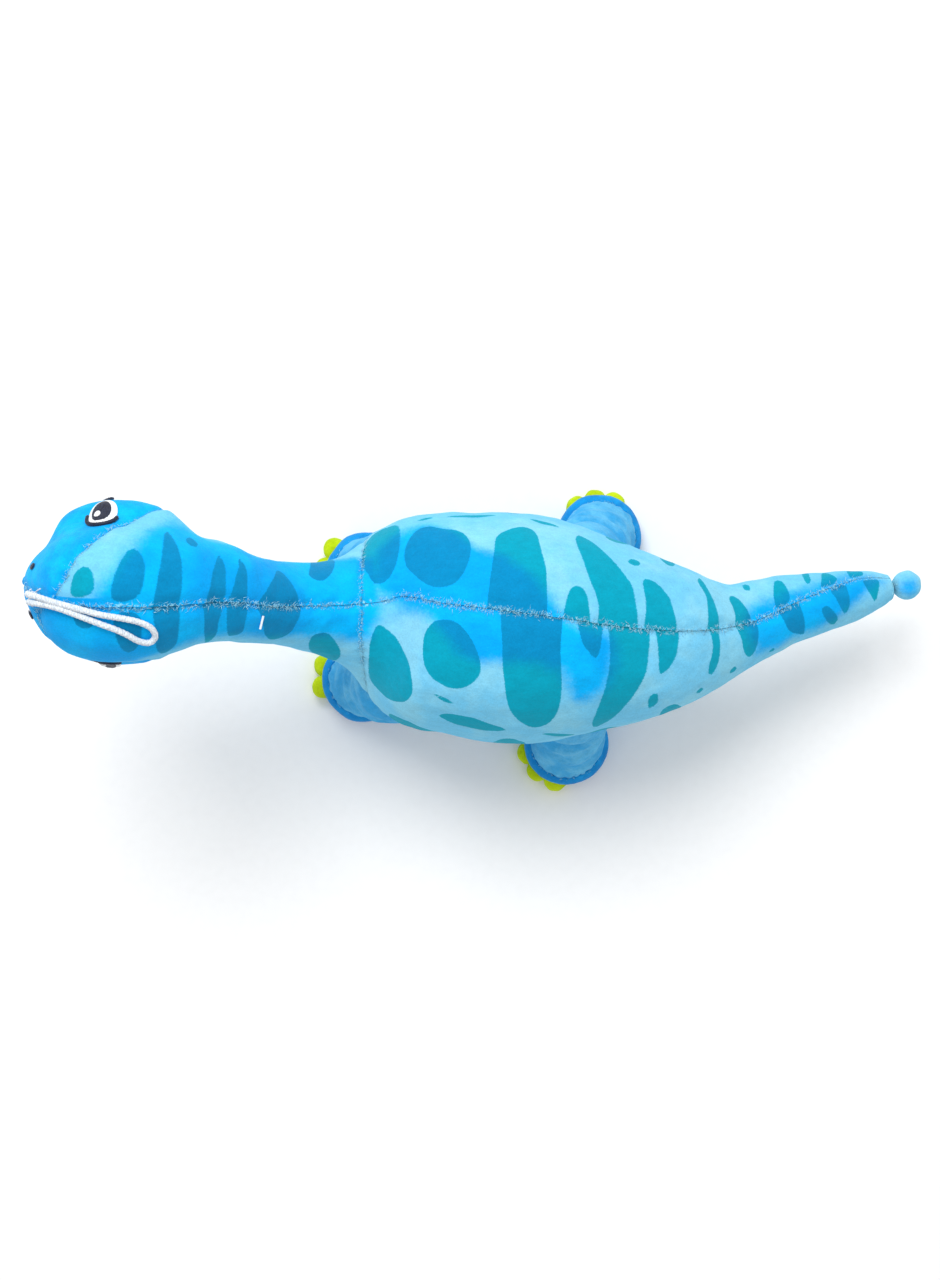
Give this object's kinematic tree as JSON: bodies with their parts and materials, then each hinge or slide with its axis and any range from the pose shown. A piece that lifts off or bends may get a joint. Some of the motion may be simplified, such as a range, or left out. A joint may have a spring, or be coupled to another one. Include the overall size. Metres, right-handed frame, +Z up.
{
  "type": "stuffed toy dinosaur",
  "caption": "Stuffed plush long-necked dinosaur, spotted blue, on four stubby legs with scalloped toes, raised neck, tapering tail and a cord loop on the head.",
  "frame": {"origin": "on the ground, under the middle of the toy's box as it stands on its four soles", "axes": "+X runs from the nose towards the tail tip, +Y to the toy's right, +Z up"},
  "size_m": [0.3705, 0.1386, 0.1778],
  "materials": {
    "blue_plush": "matte",
    "face_plush": "matte",
    "belly_plush": "matte",
    "foot_plush": "matte",
    "toe_plush": "matte",
    "filling": "matte",
    "white_cord": "matte",
    "eye_white": "satin",
    "eye_dark": "satin",
    "tag_plastic": "gloss"
  },
  "bodies": {
    "torso": {"body_right_panel": "blue_plush", "body_left_panel": "blue_plush", "belly_panel": "belly_plush", "body_filling": "filling"},
    "neck": {"neck_right_panel": "blue_plush", "neck_left_panel": "blue_plush", "neck_filling": "filling", "tag_pin": "tag_plastic"},
    "head": {"hood_right_panel": "blue_plush", "hood_left_panel": "blue_plush", "face_right_panel": "face_plush", "face_left_panel": "face_plush", "head_filling": "filling", "cheek_right": "face_plush", "cheek_left": "face_plush", "jaw": "face_plush", "eye_white_right": "eye_white", "eye_pupil_right": "eye_dark", "eye_glint_right": "eye_white", "nostril_right": "eye_dark", "eye_white_left": "eye_white", "eye_pupil_left": "eye_dark", "eye_glint_left": "eye_white", "nostril_left": "eye_dark"},
    "loop": {"hanging_loop": "white_cord"},
    "tail": {"tail_right_panel": "blue_plush", "tail_left_panel": "blue_plush", "tail_filling": "filling", "tail_tip": "blue_plush"},
    "front_left_limb": {"front_left_leg": "blue_plush", "front_left_foot_band": "foot_plush", "front_left_leg_filling": "filling", "front_left_sole": "belly_plush", "front_left_toes": "toe_plush"},
    "front_right_limb": {"front_right_leg": "blue_plush", "front_right_foot_band": "foot_plush", "front_right_leg_filling": "filling", "front_right_sole": "belly_plush", "front_right_toes": "toe_plush"},
    "hind_left_limb": {"hind_left_leg": "blue_plush", "hind_left_foot_band": "foot_plush", "hind_left_leg_filling": "filling", "hind_left_sole": "belly_plush", "hind_left_toes": "toe_plush"},
    "hind_right_limb": {"hind_right_leg": "blue_plush", "hind_right_foot_band": "foot_plush", "hind_right_leg_filling": "filling", "hind_right_sole": "belly_plush", "hind_right_toes": "toe_plush"}
  },
  "joints": [
    {"name": "neck_bend", "type": "hinge", "parent": "torso", "child": "neck", "pos_m": [-0.058, 0.013, 0.084], "axis": [0, 1, 0], "range_deg": [-25, 20], "stiffness_Nm_per_rad": 0.4, "springref_deg": 2.58},
    {"name": "head_nod", "type": "hinge", "parent": "neck", "child": "head", "pos_m": [-0.112, 0.0186, 0.1345], "axis": [0, 1, 0], "range_deg": [-18, 18], "stiffness_Nm_per_rad": 0.25, "springref_deg": 1.15},
    {"name": "loop_flop", "type": "hinge", "parent": "head", "child": "loop", "pos_m": [-0.1793, 0.016, 0.1605], "axis": [0, -1, 0], "range_deg": [0, 110]},
    {"name": "tail_sway", "type": "hinge", "parent": "torso", "child": "tail", "pos_m": [0.092, 0.0035, 0.069], "axis": [0, 0, 1], "range_deg": [-25, 25], "stiffness_Nm_per_rad": 0.12},
    {"name": "front_left_leg_swing", "type": "hinge", "parent": "torso", "child": "front_left_limb", "pos_m": [-0.046, -0.0185, 0.043], "axis": [0, 1, 0], "range_deg": [-20, 20], "stiffness_Nm_per_rad": 0.6},
    {"name": "front_right_leg_swing", "type": "hinge", "parent": "torso", "child": "front_right_limb", "pos_m": [-0.045, 0.0305, 0.043], "axis": [0, 1, 0], "range_deg": [-20, 20], "stiffness_Nm_per_rad": 0.6},
    {"name": "hind_left_leg_swing", "type": "hinge", "parent": "torso", "child": "hind_left_limb", "pos_m": [0.032, -0.028, 0.045], "axis": [0, 1, 0], "range_deg": [-20, 20], "stiffness_Nm_per_rad": 0.6},
    {"name": "hind_right_leg_swing", "type": "hinge", "parent": "torso", "child": "hind_right_limb", "pos_m": [0.038, 0.034, 0.045], "axis": [0, 1, 0], "range_deg": [-20, 20], "stiffness_Nm_per_rad": 0.6}
  ]
}
